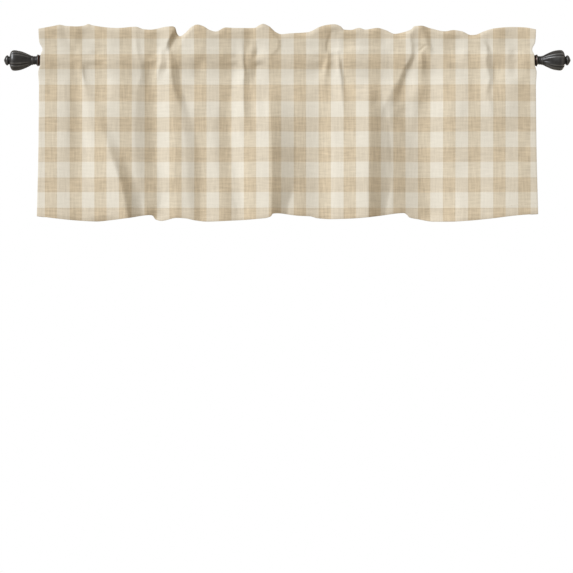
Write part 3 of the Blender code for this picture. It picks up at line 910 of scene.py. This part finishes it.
def dyed_mask(place, first, pitch, width):
    """1 inside the dyed stripes and 0 between them."""
    shifted = node(tree, "Math", {0: place, 1: first}, operation="SUBTRACT").outputs[0]
    off_centre = node(tree, "Math", {0: shifted, 1: pitch / 2}, operation="PINGPONG").outputs[0]
    border = {"From Min": width / 2 - YARN_BLEED, "From Max": width / 2 + YARN_BLEED}
    return node(tree, "MapRange", {"Value": off_centre, **border, "To Min": 1.0, "To Max": 0.0}).outputs[0]


def dyed(colour, mask, dye):
    """The colour, multiplied by the dye where the mask is 1."""
    layers = {0: mask, 6: colour, 7: (*dye, 1.0)}
    return node(tree, "Mix", layers, data_type="RGBA", blend_type="MULTIPLY").outputs[2]


def slubs(across, along, detail):
    """Noise stretched along one yarn direction, with this many slubs to the metre each way."""
    scaled = node(tree, "Mapping", {0: run, "Scale": (across, along, 1)}).outputs[0]
    wanted = {"Vector": scaled, "Scale": 1.0, "Detail": detail, "Roughness": 0.6}
    return node(tree, "TexNoise", wanted).outputs[0]


stripes = dyed_mask(split.outputs[0], FIRST_STRIPE, STRIPE_PITCH, STRIPE_WIDTH)
bars = dyed_mask(split.outputs[1], FIRST_BAR, BAR_PITCH, BAR_WIDTH)
first_yarns = FIRST_STRIPE - (STRIPE_WIDTH - EDGE_YARNS) / 2
stripe_starts = dyed_mask(split.outputs[0], first_yarns, STRIPE_PITCH, EDGE_YARNS)
first_yarns = FIRST_BAR + (BAR_WIDTH - EDGE_YARNS) / 2
bar_starts = dyed_mask(split.outputs[1], first_yarns, BAR_PITCH, EDGE_YARNS)

weft = slubs(26, 210, 2.5)
warp = slubs(230, 20, 2.5)
cloudy = slubs(14, 11, 1.0)
yarns = node(tree, "Math", {0: weft, 1: warp}, operation="ADD").outputs[0]
limits = {"From Min": 0.6, "From Max": 1.4, "To Min": -SLUB_TONE, "To Max": SLUB_TONE}
slub = node(tree, "MapRange", {"Value": yarns, **limits}).outputs[0]
strengths = {0: stripes, 1: STRIPE_SLUBS, 2: PLAIN_SLUBS}
deeper = node(tree, "Math", strengths, operation="MULTIPLY_ADD").outputs[0]
deepest = node(tree, "Math", {0: bars, 1: BAR_SLUBS, 2: deeper}, operation="MULTIPLY_ADD").outputs[0]
tone = node(tree, "Math", {0: slub, 1: deepest, 2: 1.0}, operation="MULTIPLY_ADD").outputs[0]
limits = {"From Min": 0.3, "From Max": 0.7, "To Min": 1 - CLOUD_TONE, "To Max": 1 + CLOUD_TONE}
clouds = node(tree, "MapRange", {"Value": cloudy, **limits}).outputs[0]
value = node(tree, "Math", {0: tone, 1: clouds}, operation="MULTIPLY").outputs[0]

striped = dyed(linear("#e4e0d5"), stripes, STRIPE_DYE)
barred = dyed(striped, bars, BAR_DYE)
edged = dyed(barred, stripe_starts, EDGE_DYE)
checked = dyed(edged, bar_starts, EDGE_DYE)
shaded = node(tree, "VectorMath", {0: checked, 3: value}, operation="SCALE").outputs[0]

woven = node(tree, "Mapping", {0: run, "Scale": (math.tau / WEAVE_PITCH,) * 3}).outputs[0]
crossing = node(tree, "SeparateXYZ", {0: woven})
wave_x = node(tree, "Math", {0: crossing.outputs[0]}, operation="SINE").outputs[0]
wave_z = node(tree, "Math", {0: crossing.outputs[1]}, operation="SINE").outputs[0]
weave = node(tree, "Math", {0: wave_x, 1: wave_z}, operation="MULTIPLY").outputs[0]
height = node(tree, "Math", {0: weave, 1: WEAVE_SHARE, 2: yarns}, operation="MULTIPLY_ADD").outputs[0]
bump = node(tree, "Bump", {"Height": height, "Strength": 0.5, "Distance": RELIEF})
fabric = node(
    tree, "BsdfPrincipled",
    {"Base Color": shaded, "Roughness": 0.88, "Specular IOR Level": 0.25, "Sheen Weight": 0.12,
     "Sheen Roughness": 0.5, "Normal": bump.outputs[0]},
)
node(tree, "OutputMaterial", {"Surface": fabric.outputs[0]})

# The mesh is a square grid, whose points then move to their places on the cloth.
points, flat = cloth_grid()
row_count, column_count = points.shape[:2]
cloth_shape = bmesh.new()
bmesh.ops.create_grid(cloth_shape, x_segments=column_count - 1, y_segments=row_count - 1, size=0.5)
cloth = add_piece("valance_linen", cloth_shape, linen)
cloth_mesh = cloth.data
square = np.zeros(len(cloth_mesh.vertices) * 3)
cloth_mesh.vertices.foreach_get("co", square)
square = square.reshape(-1, 3) + 0.5
column = np.rint(square[:, 0] * (column_count - 1)).astype(int)
row = np.rint(square[:, 1] * (row_count - 1)).astype(int)
cloth_mesh.vertices.foreach_set("co", points[row, column].ravel())
corners = np.zeros(len(cloth_mesh.loops), int)
cloth_mesh.loops.foreach_get("vertex_index", corners)
flat_map = cloth_mesh.uv_layers.new(name="flat_cloth")
flat_map.data.foreach_set("uv", flat[row, column][corners].ravel())
cloth_mesh.shade_smooth()
cloth_mesh.update()
body = cloth.modifiers.new("Thickness", "SOLIDIFY")
body.thickness = THICKNESS
body.offset = 0

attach(cloth, "root")
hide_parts("valance_cloth")


# -----------------------------------------------------------------------------
# Stitching. Rows of lockstitch in beige sewing thread: one holds the frill's foot, one closes the rod pocket
# and one holds the hem. The first two show as short stitches on both faces of the cloth, and the hem's on its
# front.

STITCH_LENGTH = 0.0026
STITCH_PITCH = 0.0034
THREAD_RADIUS = 0.00022
THREAD_LIFT = 0.4  # how far a stitch's middle stands off the cloth, in radii of the thread
SEAM_INSET = 0.004  # from a side edge to where a seam starts
HEM_STITCH_INSET = 0.003
TWISTS_PER_METRE = 900.0

thread, tree = new_material("beige_sewing_thread")
where = node(tree, "TexCoord").outputs["Object"]
twist = node(tree, "TexNoise", {"Vector": where, "Scale": TWISTS_PER_METRE, "Detail": 1.0}).outputs[0]
tint = node(tree, "Mix", {0: twist, 6: linear("#d9ccb5"), 7: linear("#ece3d2")}, data_type="RGBA").outputs[2]
spun = node(tree, "Bump", {"Height": twist, "Strength": 0.3, "Distance": 0.0002})
polyester = node(
    tree, "BsdfPrincipled",
    {"Base Color": tint, "Roughness": 0.55, "Sheen Weight": 0.2, "Normal": spun.outputs[0]},
)
node(tree, "OutputMaterial", {"Surface": polyester.outputs[0]})


def sew(shape, height, layer, side):
    """A row of stitches on the cloth at this height, on the face of it that looks towards side."""
    x = np.linspace(-HALF_WIDTH + SEAM_INSET, HALF_WIDTH - SEAM_INSET, LINE_SAMPLES)
    z = height(x) if callable(height) else np.full_like(x, height)
    line, _ = cloth_place(x, z, np.full_like(x, layer))
    line[:, 1] += side * (THICKNESS / 2 + THREAD_RADIUS * THREAD_LIFT)
    travelled = np.concatenate([[0.0], np.cumsum(np.linalg.norm(np.diff(line, axis=0), axis=1))])
    for start in np.arange(0.0, travelled[-1] - STITCH_LENGTH, STITCH_PITCH):
        near, far = (
            Vector([np.interp(at, travelled, line[:, axis]) for axis in range(3)])
            for at in (start, start + STITCH_LENGTH)
        )
        along = far - near
        place = Matrix.Translation((near + far) / 2) @ along.to_track_quat("X", "Z").to_matrix().to_4x4()
        size = Matrix.Diagonal((along.length / 2, THREAD_RADIUS, THREAD_RADIUS, 1))
        bmesh.ops.create_icosphere(shape, subdivisions=1, radius=1, matrix=place @ size)


for name, height, faces in (
    ("frill_stitching", HEADER_STITCH, ((-1, -1), (1, 1))),
    ("pocket_stitching", POCKET_END, ((-1, -1), (1, 1))),
    ("hem_stitching", lambda x: hem_height(x) + HEM_DEPTH - HEM_STITCH_INSET, ((-1, -1),)),
):
    shape = bmesh.new()
    for layer, side in faces:
        sew(shape, height, layer, side)
    stitching = add_piece(name, shape, thread)
    stitching.data.shade_smooth()
    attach(stitching, "root")


# -----------------------------------------------------------------------------
# The rod. A plain steel tube with the dark finish of its collars and finials. The cloth covers all of it, and
# shows it only at the open ends of the pocket.

PATCHES_PER_METRE = 160.0
GRAINS_PER_METRE = 900.0

# Oil-rubbed bronze: a blackened skin over metal, which hands polish bright along its edges. It looks nearly
# black, with dull grey lights, and a paler grey painted along each raised rim and edge: part polish, part
# painted highlight.
bronze, tree = new_material("oil_rubbed_bronze")
where = node(tree, "TexCoord").outputs["Object"]
spots = {"Vector": where, "Scale": PATCHES_PER_METRE, "Detail": 5.0, "Roughness": 0.6}
patina = node(tree, "TexNoise", spots).outputs[0]
grain = node(tree, "TexNoise", {"Vector": where, "Scale": GRAINS_PER_METRE, "Detail": 2.0}).outputs[0]
# Where the paler grey is painted: partly polish from hands, partly a painted highlight along rims and edges.
wear_and_highlight = node(tree, "Attribute", attribute_name="wear_and_highlight").outputs["Fac"]
limits = {"From Min": 0.3, "From Max": 0.7, "To Min": 0.5, "To Max": 1.0}
uneven = node(tree, "MapRange", {"Value": patina, **limits}).outputs[0]
worn_and_highlit = node(tree, "Math", {0: wear_and_highlight, 1: uneven}, operation="MULTIPLY").outputs[0]
skin = node(tree, "Mix", {0: patina, 6: linear("#323234"), 7: linear("#4e4f51")}, data_type="RGBA").outputs[2]
rubbed_and_highlit = node(tree, "Mix", {0: worn_and_highlit, 6: skin, 7: linear("#868788")}, data_type="RGBA").outputs[2]
copper = node(tree, "Attribute", attribute_name="copper").outputs["Fac"]
plating = node(tree, "Mix", {0: copper, 6: rubbed_and_highlit, 7: linear("#4a3028")}, data_type="RGBA").outputs[2]
gloss = node(tree, "MapRange", {"Value": patina, "To Min": 0.34, "To Max": 0.50}).outputs[0]
cast_skin = node(tree, "Bump", {"Height": grain, "Strength": 0.2, "Distance": 0.0003})
metal = node(
    tree, "BsdfPrincipled",
    {"Base Color": plating, "Metallic": 0.7, "Roughness": gloss, "Normal": cast_skin.outputs[0]},
)
node(tree, "OutputMaterial", {"Surface": metal.outputs[0]})

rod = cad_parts["curtain_rod"]
rod.data.materials.clear()
rod.data.materials.append(bronze)


# -----------------------------------------------------------------------------
# The collars and the finials. A flared collar is pressed over each end of the rod, and a cast finial in the
# shape of a five-petalled bud, with a bead below it and a button at its tip, screws on against the collar.

TURNING_STEPS = 160
COLLAR_START = 0.6060
FINIAL_START = 0.6160

# Half of each outline, from the rod outwards.
Turned = namedtuple("Turned", "along radius")

COLLAR = table(
    Turned,
    (0, 0), (0, 12.4), (0.2, 13.0), (0.8, 13.5), (2.8, 13.8), (3.4, 14.4), (4.1, 14.6), (4.8, 14.3),
    (5.4, 13.3), (6.2, 12.0), (7.2, 11.0), (8.4, 10.3), (9.6, 10.0), (9.7, 9.8), (9.7, 0),
)

FINIAL = table(
    Turned,
    (0, 0), (0, 9.7), (0.2, 10.1), (0.8, 10.5), (2.0, 10.4), (3.5, 10.2), (5.4, 10.3), (6.2, 11.2),
    (7.0, 11.5), (7.8, 11.3), (8.4, 10.9), (9.0, 11.3), (11.0, 12.1), (14.0, 13.6), (17.6, 15.4),
    (21.4, 17.1), (25.0, 18.8), (28.8, 20.4), (32.6, 21.8), (36.4, 23.0), (40.2, 23.8), (44.0, 24.4),
    (47.0, 24.8), (50.4, 24.9), (53.4, 24.8), (55.6, 24.3), (57.2, 23.4), (58.9, 21.8), (60.2, 19.8),
    (61.0, 18.0), (61.7, 15.9), (62.2, 13.7), (62.7, 11.4), (63.1, 10.2), (63.8, 9.5), (65.0, 9.6),
    (66.2, 11.2), (67.0, 12.0), (67.8, 12.5), (70.0, 12.3), (72.0, 10.8), (73.4, 8.9), (74.5, 6.6),
    (75.6, 4.1), (76.5, 2.1), (76.8, 0),
)

# The bud's petals. Shares of its length run from its foot to its tip, and shares of a petal's half width from
# its middle to its border. A span starts at one share and grows over the next, starts to fade at the third
# and fades over the last.
BUD_START = 0.0086
BUD_END = 0.0626
PETAL_ANGLE = math.radians(36)  # half of one petal
BORDER_DEPTH = 0.0019
BORDER_WIDTH = 0.11
RIM_HEIGHT = 0.0005
RIM_PLACE = 0.74
RIM_WIDTH = 0.12
# How pale the rims are painted, partly as polish from hands and partly as a painted highlight.
RIM_WEAR_AND_HIGHLIGHT = 0.75
HOLLOW_DEPTH = 0.0015
HOLLOW_HALF = (0.25, 0.70)  # at the foot, and from the middle of the bud on
# How pale the shoulder by the tip is painted, partly as polish and partly as a painted highlight.
TIP_WEAR_AND_HIGHLIGHT = 0.4
PETAL_SPAN = (0, 0.15, 0.93, 0.07)
HOLLOW_SPAN = (0, 0.12, 0.42, 0.36)
TIP_SPAN = (0.78, 0.10, 0.90, 0.06)

# Paler paint on a turned edge, part polish, part painted highlight: from how far off the axis, over how much,
# and how much at most.
WearAndHighlight = namedtuple("WearAndHighlight", "start over most")
COLLAR_LIP = WearAndHighlight(0.0139, 0.0006, 0.9)
FINIAL_BEADS = WearAndHighlight(0.0106, 0.0012, 0.5)
COPPER_END = 0.0032  # the collar's plating is worn to copper up to here


def turned_shape(profile, start):
    """A solid turned about the rod's axis from half of its outline."""
    shape = bmesh.new()
    points = [shape.verts.new((start + point.along, 0, -point.radius)) for point in profile]
    for near, far in zip(points, points[1:]):
        shape.edges.new((near, far))
    bmesh.ops.spin(
        shape, geom=shape.verts[:] + shape.edges[:], cent=(0, 0, 0), axis=(1, 0, 0),
        angle=2 * math.pi, steps=TURNING_STEPS, use_merge=True,
    )
    bmesh.ops.remove_doubles(shape, verts=shape.verts, dist=0.00001)
    return shape


def bell(t, middle, width):
    return math.exp(-(((t - middle) / width) ** 2))


def along_span(t, start, growing, end, fading):
    return smooth((t - start) / growing) * (1 - smooth((t - end) / fading))


def petal_skin(along, angle):
    """How far the bud's skin stands out from the turned shape, and its paler paint: part polish, part painted
    highlight.
    """
    length = (along - BUD_START) / (BUD_END - BUD_START)
    across = abs((angle / PETAL_ANGLE + 1) % 2 - 1)
    grown = along_span(length, *PETAL_SPAN)
    border = bell(across, 1, BORDER_WIDTH)
    rim = bell(across, RIM_PLACE, RIM_WIDTH)
    hollow_half = mix(*HOLLOW_HALF, smooth(length / 0.5))
    hollow = along_span(length, *HOLLOW_SPAN) * max(0.0, 1 - (across / hollow_half) ** 2)
    stands_out = grown * (RIM_HEIGHT * rim - BORDER_DEPTH * border) - HOLLOW_DEPTH * hollow
    tip = along_span(length, *TIP_SPAN) * (1 - border)
    return stands_out, min(1.0, RIM_WEAR_AND_HIGHLIGHT * grown * rim + TIP_WEAR_AND_HIGHLIGHT * tip)


# How pale a turned edge is painted, partly as polish and partly as a painted highlight.
def edge_wear_and_highlight(reach, edge):
    return smooth((reach - edge.start) / edge.over) * edge.most


# The collar's relief (none), its lip painted paler as polish and a painted highlight, and its copper.
def collar_wear_and_highlight(x, angle, reach):
    return 0.0, edge_wear_and_highlight(reach, COLLAR_LIP), float(x - COLLAR_START < COPPER_END)


def finial_wear_and_highlight(turned):
    """The relief, polish and painted highlight of a finial whose foremost petal has stopped this far above
    the level.
    """
    def relief_wear_and_highlight(x, angle, reach):
        along = x - FINIAL_START
        if BUD_START < along < BUD_END:
            return (*petal_skin(along, angle - turned), 0.0)
        return 0.0, edge_wear_and_highlight(reach, FINIAL_BEADS), 0.0
    return relief_wear_and_highlight


def add_metal(name, node_name, shape, side, relief_wear_and_highlight):
    """Gives a turned shape relief, polish, painted highlight and copper, and puts it on its end of the rod
    for its CAD node.
    """
    # Two painted layers: the paler grey, partly polish and partly a painted highlight, and the copper.
    wear_and_highlight, copper = (shape.verts.layers.float.new(layer) for layer in ("wear_and_highlight", "copper"))
    for point in shape.verts:
        reach = math.hypot(point.co.y, point.co.z)
        angle = math.atan2(point.co.z, -point.co.y)
        stands_out, point[wear_and_highlight], point[copper] = relief_wear_and_highlight(point.co.x, angle, reach)
        if reach > 0:
            point.co.yz *= 1 + stands_out / reach
        point.co.x *= side
    bmesh.ops.recalc_face_normals(shape, faces=shape.faces)
    piece = add_piece(name, shape, bronze)
    piece.data.shade_smooth()
    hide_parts(node_name)
    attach(piece, "root")


for end, side, turned in (("left", -1, math.radians(5)), ("right", 1, math.radians(-9))):
    collar, bud = turned_shape(COLLAR, COLLAR_START), turned_shape(FINIAL, FINIAL_START)
    add_metal(end + "_flared_collar", end + "_rod_collar", collar, side, collar_wear_and_highlight)
    add_metal(end + "_bud_finial", end + "_finial", bud, side, finial_wear_and_highlight(turned))
